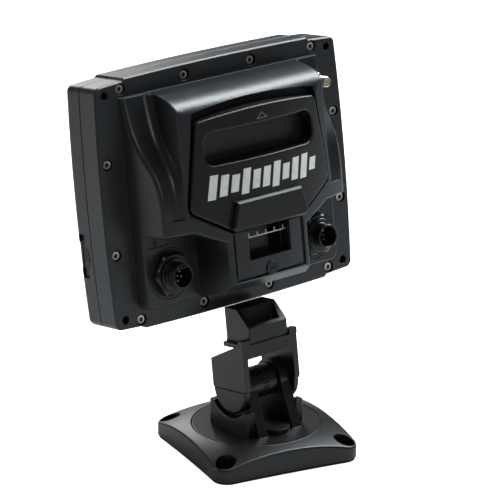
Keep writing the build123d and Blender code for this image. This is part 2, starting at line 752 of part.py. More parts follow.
# ---- turret and base, in the row's frame ----
def turret():
    body = rod("z", disc_radius, (0, 0), disc_bottom, disc_top)
    body = fillet(body.faces().sort_by(Axis.Z)[-1].edges(), 0.6)
    front, rear = arm_foot
    inner, outer = arm_x
    arm = outline([(-arm_top_radius, pivot_z), (arm_top_radius, pivot_z), (rear - 3, disc_top + 6),
                   (rear, disc_top - 1), (front, disc_top - 1), (front, disc_top + 6)])
    arm += Pos(0, pivot_z) * Circle(arm_top_radius)
    arm = along_x(arm, inner, outer)
    arm = arm.fillet(arm_round, arm.faces().sort_by(Axis.X)[-1].edges())
    skirt = block((outer, cheek_x[1] + 0.6), (front - 3, 17), (disc_top - 1, pivot_z - 10))
    skirt -= rod("x", cheek_nest_radius, (0, pivot_z), outer, cheek_x[1] + 2)
    skirt = skirt.fillet(skirt_round, skirt.faces().sort_by(Axis.X)[-1].edges())
    skirt += block((outer - arm_round, outer), (front - 3, 17), (disc_top - 1, disc_top + 6))
    body += both_sides(arm) + both_sides(skirt)
    body += rod("z", 8.0, (0, rear - 5), disc_top - 1, disc_top + 3)
    body += rod("z", boss_bore, (0, 0), recess_floor - base_web - 0.2, disc_bottom)
    body -= rod("z", 2.5, (0, 0), 0, disc_top - 1.5)
    body -= rod("x", axle_radius + running_gap, (0, pivot_z), -outer, outer)
    return body


def ratchet_block():
    half = arm_x[0]
    drum = rod("x", drum_radius, (0, 0), -half + 0.6, half)
    teeth = Part()
    for number in range(24):
        angle = number * 15
        tooth = mid_block(2.0, (-0.6, 0.6), (drum_radius - 0.7, drum_radius + 1))
        teeth += Rot(angle, 0, 0) * tooth
    return Pos(0, 0, pivot_z) * (drum - teeth - rod("x", axle_radius + running_gap, (0, 0), -20, 20))


def swivel_bolt():
    top = disc_top - 2.5
    return rod("z", 2.5 - thread_gap, (0, 0), 2.3, top) + rod("z", 5, (0, 0), 0.6, 2.3)


def swivel_washer():
    top = recess_floor - base_web - 0.2
    return rod("z", 12, (0, 0), 2.3, top) - rod("z", 2.5, (0, 0), 0, 10)


def base_face(inset=0.0):
    corner = base_corner / 2 ** 0.5 + base_corner_radius * (1 - 1 / 2 ** 0.5) * 2 ** 0.5 - inset
    bow = base_side - inset
    corners = [(corner, corner), (-corner, corner), (-corner, -corner), (corner, -corner)]
    edges = []
    for start, end in zip(corners, corners[1:] + corners[:1]):
        middle = ((start[0] + end[0]) / 2, (start[1] + end[1]) / 2)
        scale = (bow + 2.6) / corner
        edges.append(ThreePointArc(start, (middle[0] * scale, middle[1] * scale), end))
    face = make_face(edges)
    return fillet(face.vertices(), base_corner_radius - inset)


def mount_places():
    radius = mount_circle / 2
    return [(radius * cos(pi / 4 + k * pi / 2), radius * sin(pi / 4 + k * pi / 2)) for k in range(4)]


def base_plate():
    slab = along_z(base_face(), pad_thickness, disc_top + 1)
    slope = ThreePointArc((disc_radius + 0.8, disc_top), (50, 12.2), (66, base_edge_z - 1.6))
    rest = Polyline((66, base_edge_z - 1.6), (66, 0), (0, 0), (0, disc_top), (disc_radius + 0.8, disc_top))
    dome = revolve(Plane.XZ * make_face([slope] + rest.edges()), Axis.Z)
    plate = slab & dome
    crown = plate.faces().filter_by(GeomType.REVOLUTION).sort_by(SortBy.AREA)[-1]
    plate = plate.fillet(base_round, crown.outer_wire().edges())
    plate -= rod("z", disc_radius + moving_gap, (0, 0), recess_floor, 20)
    plate -= rod("z", boss_bore + running_gap, (0, 0), 0, 20)
    plate -= rod("z", 13.5, (0, 0), 0, recess_floor - base_web)
    for place in mount_places():
        plate -= rod("z", mount_hole_radius, place, 0, 20)
        plate -= rod("z", scallop_radius, place, scallop_floor, 20)
    return Rot(0, 0, rest_swivel) * plate


def base_pad():
    pad = along_z(base_face(0.8), 0, pad_thickness) - rod("z", 13.5, (0, 0), -1, 3)
    for place in mount_places():
        pad -= rod("z", mount_hole_radius, place, -1, 3)
    return Rot(0, 0, rest_swivel) * pad


# ---- placing and writing ----
tilted = Pos(0, 0, pivot_z) * Rot(rest_tilt, 0, 0)
on_display = tilted * Pos(0, -flange_setback, seated_height + dock_lift)

display_pieces = {
    "rear_housing": rear_housing, "front_bezel": front_bezel, "housing_seal": seal_ring,
    "lens": lens, "lcd_panel": lcd_panel, "lcd_tray": lcd_tray, "main_board": main_board,
    "board_screws": board_screws, "keypad_mat": keypad_mat, "card_slot": card_slot,
    "card_door": card_door, "door_hinge_pin": door_hinge_pin, "housing_screws": housing_screws,
    "connector_nuts": connector_nuts, "connector_gaskets": connector_gaskets,
    "antenna_jack": antenna_jack, "antenna_nut": antenna_nut, "gps_patch": gps_patch,
    "beeper": beeper, "socket_frame": socket_frame, "contact_comb": contact_comb,
    "round_plug": round_plug, "latch_handle": latch_handle, "latch_springs": latch_springs}
head_pieces = {"tilt_head": tilt_head, "tilt_axle": tilt_axle, "friction_washers": friction_washers}
base_pieces = {"turret": turret, "ratchet_block": ratchet_block, "swivel_bolt": swivel_bolt,
               "swivel_washer": swivel_washer, "base_plate": base_plate, "base_pad": base_pad}

solids = {name: on_display * make() for name, make in display_pieces.items()}
solids["power_connector"] = on_display * connector(connector_x, True)
solids["power_pins"] = on_display * connector_pins(connector_x, 6)
solids["sonar_connector"] = on_display * connector(-connector_x, False)
solids["sonar_pins"] = on_display * connector_pins(-connector_x, 4)
for name, offset_x, z, shape in key_list:
    solids[name] = on_display * key_solid(offset_x, z, shape)
solids.update({name: tilted * make() for name, make in head_pieces.items()})
solids.update({name: make() for name, make in base_pieces.items()})

for name, solid in solids.items():
    export_step(solid, f"parts/{name}.step")
    print(f"{name:20s} {solid.volume:12.1f}")
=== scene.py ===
import bmesh
import bpy
import json
import math
from mathutils import Matrix, Vector


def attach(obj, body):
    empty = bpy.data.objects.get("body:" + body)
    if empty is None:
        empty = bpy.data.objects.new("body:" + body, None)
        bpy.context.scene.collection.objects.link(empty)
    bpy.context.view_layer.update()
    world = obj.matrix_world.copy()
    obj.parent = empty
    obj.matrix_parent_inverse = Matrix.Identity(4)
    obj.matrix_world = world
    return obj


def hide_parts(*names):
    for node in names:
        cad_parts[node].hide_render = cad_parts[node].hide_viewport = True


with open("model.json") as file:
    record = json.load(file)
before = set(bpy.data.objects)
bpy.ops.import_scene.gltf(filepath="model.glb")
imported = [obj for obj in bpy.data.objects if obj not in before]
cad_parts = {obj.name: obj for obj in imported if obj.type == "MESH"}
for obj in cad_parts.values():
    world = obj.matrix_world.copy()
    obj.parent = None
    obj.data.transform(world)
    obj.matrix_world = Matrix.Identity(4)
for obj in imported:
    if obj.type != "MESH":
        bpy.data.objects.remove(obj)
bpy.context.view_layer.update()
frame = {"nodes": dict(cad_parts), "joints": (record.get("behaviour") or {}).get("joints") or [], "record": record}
record = frame["record"]
mounts = {mount["name"]: mount for mount in record["mounts"]}
joints = {joint["name"]: joint for joint in frame["joints"]}
slotOf = {part["node"]: part["material_slot"] for part in record["subparts"]}
bodyOf = {node: body for body, nodes in record["behaviour"]["bodies"].items() for node in nodes}
mm = 0.001

# The display's own axes: across, out of its back, and up its face. Its pieces are built
# in millimetres from its centre and then placed.
across = Vector((1, 0, 0))
outward = Vector(mounts["power_inlet"]["axis"])
upward = Vector(joints["dock_slide"]["axis"])
inletSeat = Vector((53, 17.7, -41)) * mm     # middle of the power inlet, from the display's centre
displayOrigin = (Vector(mounts["power_inlet"]["pos_m"]) - across * inletSeat.x
                 - outward * inletSeat.y - upward * inletSeat.z)
displayTurn = Matrix((across, outward, upward)).transposed().to_4x4()
displayPlace = Matrix.Translation(displayOrigin) @ displayTurn @ Matrix.Scale(mm, 4)
displayInverse = displayPlace.inverted()

stageLook = {"floorRadius": 6.0, "floorColor": (0.6, 0.61, 0.62), "paperGlow": 0.92,
             "seenWorld": (1.0, 1.0, 1.0), "roomColor": (0.78, 0.88, 1.0), "roomLight": 0.07}
cameraLook = {"azimuth": 140.0, "elevation": 19.0, "distance": 1.806, "lens": 227.5,
              "lookAt": (-0.0182, -0.0273, 0.1078)}
lampList = [
    {"name": "topBox", "direction": (-0.6, -0.05, 0.8), "distance": 1.25, "size": (0.5, 1.1), "power": 27,
     "color": (0.9, 0.96, 1.0)},
    {"name": "overBox", "direction": (0.05, -0.2, 1.0), "distance": 1.5, "size": (0.9, 0.9), "power": 7,
     "color": (0.95, 0.98, 1.0)},
    {"name": "sideBox", "direction": (1.0, -0.55, 0.3), "distance": 1.6, "size": (0.5, 1.0), "power": 6.5,
     "color": (1.0, 0.98, 0.96)},
    {"name": "rearBox", "direction": (0.1, 1.0, 0.55), "distance": 1.9, "size": (0.6, 0.6), "power": 5,
     "color": (1.0, 0.98, 0.96)},
    {"name": "frontBox", "direction": (-0.35, -1.0, 0.5), "distance": 1.9, "size": (0.9, 0.9), "power": 12,
     "color": (1.0, 0.99, 0.98)}]


def directionOf(azimuth, elevation):
    az, el = math.radians(azimuth), math.radians(elevation)
    return Vector((math.sin(az) * math.cos(el), -math.cos(az) * math.cos(el), math.sin(el)))


def link(piece):
    bpy.context.scene.collection.objects.link(piece)
    return piece


def makeWorld():
    world = bpy.data.worlds.new("studio")
    world.use_nodes = True
    nodes, links = world.node_tree.nodes, world.node_tree.links
    room = nodes["Background"]
    room.inputs["Color"].default_value = (*stageLook["roomColor"], 1)
    room.inputs["Strength"].default_value = stageLook["roomLight"]
    paper = nodes.new("ShaderNodeBackground")
    paper.inputs["Color"].default_value = (*stageLook["seenWorld"], 1)
    ray = nodes.new("ShaderNodeLightPath")
    blend = nodes.new("ShaderNodeMixShader")
    links.new(ray.outputs["Is Camera Ray"], blend.inputs["Fac"])
    links.new(room.outputs["Background"], blend.inputs[1])
    links.new(paper.outputs["Background"], blend.inputs[2])
    links.new(blend.outputs["Shader"], nodes["World Output"].inputs["Surface"])
    bpy.context.scene.world = world


def makeFloor():
    floorMesh = bpy.data.meshes.new("floor")
    work = bmesh.new()
    bmesh.ops.create_circle(work, cap_ends=True, radius=stageLook["floorRadius"], segments=96)
    work.to_mesh(floorMesh)
    floor = link(bpy.data.objects.new("floor", floorMesh))
    paper = bpy.data.materials.new("whitePaper")
    paper.use_nodes = True
    nodes, links = paper.node_tree.nodes, paper.node_tree.links
    shader = nodes["Principled BSDF"]
    shader.inputs["Base Color"].default_value = (*stageLook["floorColor"], 1)
    shader.inputs["Roughness"].default_value = 0.9
    shader.inputs["Specular IOR Level"].default_value = 0.1
    shader.inputs["Emission Color"].default_value = (1, 1, 1, 1)
    ray = nodes.new("ShaderNodeLightPath")
    glow = nodes.new("ShaderNodeMath")
    glow.operation = "MULTIPLY"
    glow.inputs[1].default_value = stageLook["paperGlow"]
    links.new(ray.outputs["Is Camera Ray"], glow.inputs[0])
    links.new(glow.outputs["Value"], shader.inputs["Emission Strength"])
    floorMesh.materials.append(paper)


def makeLamps():
    for lamp in lampList:
        light = bpy.data.lights.new(lamp["name"], "AREA")
        light.shape = "RECTANGLE"
        light.size, light.size_y = lamp["size"]
        light.energy = lamp["power"]
        light.color = lamp["color"]
        lampObject = link(bpy.data.objects.new(lamp["name"], light))
        away = Vector(lamp["direction"]).normalized()
        lampObject.location = Vector(cameraLook["lookAt"]) + away * lamp["distance"]
        lampObject.rotation_euler = away.to_track_quat("Z", "Y").to_euler()


def makeCamera():
    camera = bpy.data.cameras.new("camera")
    camera.lens = cameraLook["lens"]
    camera.clip_start = 0.05
    cameraObject = link(bpy.data.objects.new("camera", camera))
    away = directionOf(cameraLook["azimuth"], cameraLook["elevation"])
    cameraObject.location = Vector(cameraLook["lookAt"]) + away * cameraLook["distance"]
    cameraObject.rotation_euler = away.to_track_quat("Z", "Y").to_euler()
    bpy.context.scene.camera = cameraObject
    bpy.context.scene.view_settings.view_transform = "Standard"


makeWorld()
makeFloor()
makeLamps()
makeCamera()
print("stage and camera done")


def startMaterial(name, color, roughness, metallic=0.0):
    material = bpy.data.materials.new(name)
    material.use_nodes = True
    shader = material.node_tree.nodes["Principled BSDF"]
    shader.inputs["Base Color"].default_value = (*color, 1)
    shader.inputs["Roughness"].default_value = roughness
    shader.inputs["Metallic"].default_value = metallic
    return material, material.node_tree.nodes, material.node_tree.links, shader


def noiseOn(nodes, links, scale, detail=3.0, stretch=(1, 1, 1)):
    place = nodes.new("ShaderNodeTexCoord")
    mapping = nodes.new("ShaderNodeMapping")
    mapping.inputs["Scale"].default_value = stretch
    texture = nodes.new("ShaderNodeTexNoise")
    texture.inputs["Scale"].default_value = scale
    texture.inputs["Detail"].default_value = detail
    links.new(place.outputs["Object"], mapping.inputs["Vector"])
    links.new(mapping.outputs["Vector"], texture.inputs["Vector"])
    return texture


def rampOf(nodes, links, source, low, high, lowColor, highColor):
    ramp = nodes.new("ShaderNodeValToRGB")
    ramp.color_ramp.elements[0].position = low
    ramp.color_ramp.elements[1].position = high
    ramp.color_ramp.elements[0].color = (*lowColor, 1)
    ramp.color_ramp.elements[1].color = (*highColor, 1)
    links.new(source, ramp.inputs["Fac"])
    return ramp


def rangeOf(nodes, links, source, low, high):
    spread = nodes.new("ShaderNodeMapRange")
    spread.inputs["To Min"].default_value = low
    spread.inputs["To Max"].default_value = high
    links.new(source, spread.inputs["Value"])
    return spread


def mouldedPlastic(name, look):
    color = look["color"]
    material, nodes, links, shader = startMaterial(name, color, look["roughness"])
    mottle = noiseOn(nodes, links, look.get("mottleScale", 38.0), 4.0)
    darker = tuple(c * 0.85 for c in color)
    lighter = tuple(c * 1.17 for c in color)
    tint = rampOf(nodes, links, mottle.outputs["Fac"], 0.32, 0.7, darker, lighter)
    shape = nodes.new("ShaderNodeNewGeometry")
    rub = rampOf(nodes, links, shape.outputs["Pointiness"], 0.515, 0.57, (0, 0, 0), (1, 1, 1))
    strength = nodes.new("ShaderNodeMath")
    strength.operation = "MULTIPLY"
    strength.inputs[1].default_value = look.get("rub", 0.3)
    worn = nodes.new("ShaderNodeMix")
    worn.data_type = "RGBA"
    worn.inputs["B"].default_value = (*(c * 2.2 + 0.006 for c in color), 1)
    links.new(rub.outputs["Color"], strength.inputs[0])
    links.new(strength.outputs["Value"], worn.inputs["Factor"])
    links.new(tint.outputs["Color"], worn.inputs["A"])
    links.new(worn.outputs["Result"], shader.inputs["Base Color"])
    patches = noiseOn(nodes, links, 90.0, 2.0)
    low = look["roughness"] - 0.035
    high = look["roughness"] + 0.035
    gloss = rangeOf(nodes, links, patches.outputs["Fac"], low, high)
    links.new(gloss.outputs["Result"], shader.inputs["Roughness"])
    grain = noiseOn(nodes, links, 2400.0, 2.0)
    edge = nodes.new("ShaderNodeBevel")
    edge.samples = 4
    edge.inputs["Radius"].default_value = look.get("edge", 0.0004)
    bump = nodes.new("ShaderNodeBump")
    bump.inputs["Strength"].default_value = look.get("grain", 0.12)
    bump.inputs["Distance"].default_value = 0.0001
    links.new(grain.outputs["Fac"], bump.inputs["Height"])
    links.new(edge.outputs["Normal"], bump.inputs["Normal"])
    links.new(bump.outputs["Normal"], shader.inputs["Normal"])
    shader.inputs["Specular IOR Level"].default_value = look.get("specular", 0.5)
    return material


def wornMetal(name, look):
    material, nodes, links, shader = startMaterial(name, look["color"], look["roughness"], 1.0)
    tone = noiseOn(nodes, links, 160.0, 4.0)
    darker = tuple(c * 0.7 for c in look["color"])
    tint = rampOf(nodes, links, tone.outputs["Fac"], 0.3, 0.65, darker, look["color"])
    links.new(tint.outputs["Color"], shader.inputs["Base Color"])
    streak = noiseOn(nodes, links, 700.0, 3.0, (1, 6, 1))
    low = look["roughness"] - 0.08
    high = look["roughness"] + 0.12
    spread = rangeOf(nodes, links, streak.outputs["Fac"], low, high)
    links.new(spread.outputs["Result"], shader.inputs["Roughness"])
    bump = nodes.new("ShaderNodeBump")
    bump.inputs["Strength"].default_value = 0.15
    bump.inputs["Distance"].default_value = 0.00005
    links.new(streak.outputs["Fac"], bump.inputs["Height"])
    links.new(bump.outputs["Normal"], shader.inputs["Normal"])
    return material


def clearGlass(name, color, roughness, transmission):
    material, nodes, links, shader = startMaterial(name, color, roughness)
    smear = noiseOn(nodes, links, 30.0, 5.0)
    spread = rangeOf(nodes, links, smear.outputs["Fac"], roughness, roughness + 0.07)
    links.new(spread.outputs["Result"], shader.inputs["Roughness"])
    shader.inputs["Transmission Weight"].default_value = transmission
    shader.inputs["Coat Weight"].default_value = 0.4
    return material


def speckledInk(name, color, roughness=0.5):
    material, nodes, links, shader = startMaterial(name, color, roughness)
    tone = noiseOn(nodes, links, 420.0, 4.0)
    thin = tuple(c * 0.8 for c in color)
    tint = rampOf(nodes, links, tone.outputs["Fac"], 0.25, 0.5, thin, color)
    links.new(tint.outputs["Color"], shader.inputs["Base Color"])
    return material


finishes = {
    "housing_plastic": mouldedPlastic("housingPlastic", {
        "color": (0.0105, 0.0118, 0.0132), "roughness": 0.34, "grain": 0.09, "rub": 0.25, "edge": 0.0005,
        "specular": 0.5}),
    "bracket_plastic": mouldedPlastic("bracketPlastic", {
        "color": (0.0034, 0.0034, 0.0037), "roughness": 0.35, "grain": 0.15, "rub": 0.25, "specular": 0.42}),
    "black_plastic": mouldedPlastic("blackPlastic", {
        "color": (0.005, 0.005, 0.0054), "roughness": 0.42, "grain": 0.14, "rub": 0.25, "specular": 0.4}),
    "latch_plastic": mouldedPlastic("latchPlastic", {
        "color": (0.0065, 0.0056, 0.0052), "roughness": 0.33, "grain": 0.06, "rub": 0.25, "edge": 0.0006,
        "specular": 0.4}),
    "connector_plastic": mouldedPlastic("connectorPlastic", {
        "color": (0.0042, 0.0042, 0.0044), "roughness": 0.3, "grain": 0.05, "rub": 0.25, "edge": 0.0002,
        "specular": 0.45}),
    "key_rubber": mouldedPlastic("keyRubber", {
        "color": (0.026, 0.027, 0.03), "roughness": 0.66, "grain": 0.2, "rub": 0.3, "edge": 0.0004,
        "specular": 0.35}),
    "seal_rubber": mouldedPlastic("sealRubber", {
        "color": (0.006, 0.006, 0.006), "roughness": 0.72, "grain": 0.3, "rub": 0.2, "specular": 0.3}),
    "board_laminate": mouldedPlastic("boardLaminate", {
        "color": (0.012, 0.085, 0.035), "roughness": 0.35, "grain": 0.05, "mottleScale": 140.0}),
    "patch_ceramic": mouldedPlastic("patchCeramic", {
        "color": (0.55, 0.5, 0.4), "roughness": 0.55, "grain": 0.2}),
    "tray_metal": wornMetal("trayMetal", {"color": (0.6, 0.61, 0.62), "roughness": 0.35}),
    "stainless": wornMetal("stainless", {"color": (0.62, 0.56, 0.47), "roughness": 0.34}),
    "jack_metal": wornMetal("jackMetal", {"color": (0.62, 0.52, 0.38), "roughness": 0.26}),
    "gold_pins": wornMetal("goldPins", {"color": (0.86, 0.63, 0.3), "roughness": 0.2}),
    "comb_metal": wornMetal("combMetal", {"color": (0.62, 0.65, 0.67), "roughness": 0.35}),
    "lens_glass": clearGlass("lensGlass", (0.35, 0.38, 0.4), 0.03, 0.92),
    "panel_glass": clearGlass("panelGlass", (0.004, 0.006, 0.009), 0.12, 0.0)}
inks = {"white": speckledInk("whitePrint", (0.82, 0.82, 0.79)),
        "grey": speckledInk("greyPrint", (0.16, 0.16, 0.165)),
        # black print behind the lens, also used as the painted shade in the screw sockets
        "black": speckledInk("blackPrint", (0.004, 0.004, 0.0045), 0.3),
        "insulator": speckledInk("insulator", (0.7, 0.68, 0.62), 0.45)}
print("materials done")


def paintNode(nodeName):
    for holder in frame["nodes"][nodeName].material_slots:
        holder.material = finishes[slotOf[nodeName]]


def sharpenEdges(work, facet):
    for face in work.faces:
        face.smooth = True
    for edge in work.edges:
        if len(edge.link_faces) == 2:
            edge.smooth = edge.calc_face_angle() < math.radians(facet)


def evenNormals(piece):
    weighted = piece.modifiers.new("evenNormals", "WEIGHTED_NORMAL")
    weighted.keep_sharp = True
    weighted.weight = 80


def finishPiece(piece, nodeNames, material=None, body=None, slotName=None):
    slotName = slotName or slotOf[nodeNames[0]]
    piece.data.materials.clear()
    piece.data.materials.append(material or finishes[slotName])
    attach(piece, body or bodyOf[nodeNames[0]])
    if nodeNames:
        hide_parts(*nodeNames)
    return piece


def placedPiece(name, work, facet=32.0, place=displayPlace):
    bmesh.ops.remove_doubles(work, verts=work.verts, dist=1e-4)
    bmesh.ops.recalc_face_normals(work, faces=work.faces)
    sharpenEdges(work, facet)
    work.transform(place)
    mesh = bpy.data.meshes.new(name)
    work.to_mesh(mesh)
    work.free()
    return link(bpy.data.objects.new(name, mesh))


def smoothedCopy(nodeName, pieceName, facet=26.0):
    mesh = bpy.data.meshes.new(pieceName)
    work = bmesh.new()
    work.from_mesh(frame["nodes"][nodeName].data)
    bmesh.ops.remove_doubles(work, verts=work.verts, dist=2e-6)
    sharpenEdges(work, facet)
    work.to_mesh(mesh)
    work.free()
    piece = link(bpy.data.objects.new(pieceName, mesh))
    evenNormals(piece)
    return finishPiece(piece, [nodeName])


keptShapes = {
    "rear_housing": "rearHousing", "front_bezel": "frontBezel", "latch_handle": "latchHandle",
    "socket_frame": "socketFrame", "round_plug": "roundPlug", "contact_comb": "contactComb",
    "tilt_head": "tiltHead", "turret": "turretBody", "base_plate": "basePlate", "base_pad": "basePad",
    "ratchet_block": "ratchetDrum", "card_door": "cardDoor", "card_slot": "cardSlot"}
for nodeName, pieceName in keptShapes.items():
    smoothedCopy(nodeName, pieceName)
for nodeName in frame["nodes"]:
    paintNode(nodeName)
print("kept shapes done")


def localPoints(nodeName):
    return [displayInverse @ vertex.co for vertex in frame["nodes"][nodeName].data.vertices]


def localBox(nodeName):
    points = localPoints(nodeName)
    return (Vector(min(p[k] for p in points) for k in range(3)),
            Vector(max(p[k] for p in points) for k in range(3)))


def islandBoxes(nodeName):
    work = bmesh.new()
    work.from_mesh(frame["nodes"][nodeName].data)
    bmesh.ops.remove_doubles(work, verts=work.verts, dist=2e-6)
    waiting = set(work.verts)
    boxes = []
    while waiting:
        stack = [waiting.pop()]
        island = []
        while stack:
            vertex = stack.pop()
            island.append(displayInverse @ vertex.co)
            for edge in vertex.link_edges:
                other = edge.other_vert(vertex)
                if other in waiting:
                    waiting.remove(other)
                    stack.append(other)
        boxes.append((Vector(min(p[k] for p in island) for k in range(3)),
                      Vector(max(p[k] for p in island) for k in range(3))))
    work.free()
    return sorted(boxes, key=lambda box: (round(box[0].x, 1), round(box[0].z, 1)))


def lathe(work, profile, centre, segments=72, shapeOf=None, closed=False):
    # profile holds (radius, depth) steps; a radius of 0 is a pole on the axis
    rings = []
    for radius, depth in profile:
        if radius < 1e-6:
            rings.append([work.verts.new((centre[0], depth, centre[1]))])
            continue
        ring = []
        for step in range(segments):
            angle = math.tau * step / segments
            reach = shapeOf(angle, radius) if shapeOf else radius
            ring.append(work.verts.new((centre[0] + reach * math.cos(angle), depth,
                                        centre[1] + reach * math.sin(angle))))
        rings.append(ring)
    pairs = list(zip(rings, rings[1:]))
    if closed:
        pairs.append((rings[-1], rings[0]))
    for lower, upper in pairs:
        for step in range(segments):
            after = (step + 1) % segments
            corners = [lower[step % len(lower)], lower[after % len(lower)],
                       upper[after % len(upper)], upper[step % len(upper)]]
            corners = list(dict.fromkeys(corners))
            if len(corners) > 2:
                work.faces.new(corners)


def hexReach(flats):
    def reach(angle, radius):
        turn = math.radians(math.degrees(angle) % 60 - 30)
        return min(radius, flats / 2 / math.cos(turn))
    return reach


def boxIn(work, low, high):
    corners = [work.verts.new((x, y, z)) for x in (low[0], high[0]) for y in (low[1], high[1])
               for z in (low[2], high[2])]
    for quad in ((0, 1, 3, 2), (4, 6, 7, 5), (0, 4, 5, 1), (2, 3, 7, 6), (0, 2, 6, 4), (1, 5, 7, 3)):
        work.faces.new([corners[k] for k in quad])


socketLook = {"body": 8.0, "barrel": 7.0, "bore": 5.9, "collar": 9.6, "collarDepth": 1.6, "lip": 0.35,
              "groove": 0.2}


def roundSocket(nodeName, pieceName, ribLow, ribHigh):
    low, high = localBox(nodeName)
    look = socketLook
    centre = ((low.x + high.x) / 2, (low.z + high.z) / 2)
    end = high.y
    nutEnd = localBox("connector_nuts")[1].y
    collarEnd = nutEnd + look["collarDepth"]
    floor = localBox(nodeName.replace("connector", "pins"))[0].y
    barrel, bore, lip = look["barrel"], look["bore"], look["lip"]
    step = nutEnd - 2.2
    grooveAt = (collarEnd + end) / 2 - 0.6
    profile = [(0, low.y), (look["body"], low.y), (look["body"], step), (barrel, step), (barrel, nutEnd),
               (look["collar"] - lip, nutEnd), (look["collar"], nutEnd + lip),
               (look["collar"], collarEnd - lip),
               (look["collar"] - lip, collarEnd), (barrel + lip, collarEnd), (barrel, collarEnd + lip),
               (barrel, grooveAt), (barrel - look["groove"], grooveAt + 0.2),
               (barrel - look["groove"], grooveAt + 0.6), (barrel, grooveAt + 0.8), (barrel, end - lip),
               (barrel - lip, end), (bore + lip, end), (bore, end - lip), (bore, floor), (0, floor)]
    work = bmesh.new()
    lathe(work, profile, centre)
    boxIn(work, (centre[0] + ribLow[0], floor - 0.2, centre[1] + ribLow[2]),
          (centre[0] + ribHigh[0], end - ribHigh[1], centre[1] + ribHigh[2]))
    return finishPiece(placedPiece(pieceName, work), [nodeName])


roundSocket("power_connector", "powerSocket", (-4.1, 0, 4.25), (4.1, 0.6, 5.0))
roundSocket("sonar_connector", "sonarSocket", (-5.6, 0, -0.45), (0.6, 5.6, 0.45))

nutLook = {"flats": 22.5, "corner": 12.9, "bevel": 0.9, "bore": 7.05, "seat": 8.05}


def socketNuts():
    work = bmesh.new()
    look = nutLook
    for low, high in islandBoxes("connector_nuts"):
        centre = ((low.x + high.x) / 2, (low.z + high.z) / 2)
        inner = look["flats"] / 2 - 0.2
        lathe(work, [(look["bore"], high.y), (inner, high.y), (look["corner"], high.y - look["bevel"]),
                     (look["corner"], low.y + look["bevel"] / 2), (inner + 0.8, low.y), (look["seat"], low.y),
                     (look["seat"], low.y + 1.95), (look["bore"], low.y + 1.95)],
              centre, 96, hexReach(look["flats"]), closed=True)
    return finishPiece(placedPiece("socketNuts", work, 24.0), ["connector_nuts"])


def socketGaskets():
    work = bmesh.new()
    for low, high in islandBoxes("connector_gaskets"):
        centre = ((low.x + high.x) / 2, (low.z + high.z) / 2)
        rim = (high.x - low.x) / 2
        lathe(work, [(8.1, low.y), (rim, low.y), (rim, high.y - 0.3), (rim - 0.3, high.y), (8.1, high.y)],
              centre, 96, closed=True)
    return finishPiece(placedPiece("socketGaskets", work), ["connector_gaskets"])


socketNuts()
socketGaskets()

aerialLook = {"thread": 3.1, "root": 2.84, "pitch": 0.62, "bore": 2.3, "boreDepth": 5.0, "pin": 0.5}


def aerialJack():
    low, high = localBox("antenna_jack")
    nutLow, nutHigh = localBox("antenna_nut")
    look = aerialLook
    centre = ((low.x + high.x) / 2, (low.z + high.z) / 2)
    profile = [(0, low.y), (2.9, low.y), (2.9, nutHigh.y)]
    depth = nutHigh.y
    while depth + look["pitch"] < high.y - 0.5:
        profile += [(look["root"], depth + 0.05), (look["thread"], depth + look["pitch"] * 0.45),
                    (look["thread"], depth + look["pitch"] * 0.62)]
        depth += look["pitch"]
    floor = high.y - look["boreDepth"]
    profile += [(look["root"], depth + 0.05), (look["root"], high.y - 0.15), (look["root"] - 0.15, high.y),
                (look["bore"] + 0.1, high.y), (look["bore"], high.y - 0.1), (look["bore"], floor), (0, floor)]
    work = bmesh.new()
    lathe(work, profile, centre, 48)
    finishPiece(placedPiece("aerialJack", work, 24.0), ["antenna_jack"])
    work = bmesh.new()
    lathe(work, [(0, floor), (look["bore"], floor), (look["bore"], high.y - 1.1), (1.1, high.y - 1.1),
                 (0.9, high.y - 2.2), (0, high.y - 2.2)], centre, 32)
    finishPiece(placedPiece("aerialInsulator", work), [], inks["insulator"], "display", "jack_metal")
    work = bmesh.new()
    lathe(work, [(0, high.y - 2.4), (look["pin"], high.y - 2.4), (look["pin"], high.y - 0.9),
                 (0.25, high.y - 0.55), (0, high.y - 0.55)], centre, 20)
    finishPiece(placedPiece("aerialPin", work), [], finishes["gold_pins"], "display", "gold_pins")
    work = bmesh.new()
    washer = nutLow.y + 0.8
    lathe(work, [(2.95, nutLow.y), (5.2, nutLow.y), (5.2, washer - 0.15), (5.05, washer), (2.95, washer)],
          centre, 64, closed=True)
    lathe(work, [(2.95, washer), (4.7, washer), (4.95, washer + 0.3), (4.95, nutHigh.y - 0.4),
                 (4.3, nutHigh.y), (2.95, nutHigh.y)], centre, 96, hexReach(8.6), closed=True)
    finishPiece(placedPiece("aerialNut", work, 24.0), ["antenna_nut"])


aerialJack()
print("sockets and jack done")


def newTree(name, inputs):
    tree = bpy.data.node_groups.new(name, "GeometryNodeTree")
    tree.interface.new_socket("Geometry", in_out="INPUT", socket_type="NodeSocketGeometry")
    tree.interface.new_socket("Geometry", in_out="OUTPUT", socket_type="NodeSocketGeometry")
    for label, kind in inputs:
        tree.interface.new_socket(label, in_out="INPUT", socket_type=kind)
    return tree, tree.nodes.new("NodeGroupInput"), tree.nodes.new("NodeGroupOutput")


def mathNode(tree, operation, first, second=None):
    node = tree.nodes.new("ShaderNodeMath")
    node.operation = operation
    for slot, value in enumerate((first, second)):
        if value is None:
            continue
        if isinstance(value, (int, float)):
            node.inputs[slot].default_value = value
        else:
            tree.links.new(value, node.inputs[slot])
    return node.outputs["Value"]


def endTree(tree, geometry, source, output):
    real = tree.nodes.new("GeometryNodeRealizeInstances")
    paint = tree.nodes.new("GeometryNodeSetMaterial")
    tree.links.new(geometry, real.inputs["Geometry"])
    tree.links.new(real.outputs["Geometry"], paint.inputs["Geometry"])
    tree.links.new(source.outputs["Material"], paint.inputs["Material"])
    tree.links.new(paint.outputs["Geometry"], output.inputs["Geometry"])
    return real


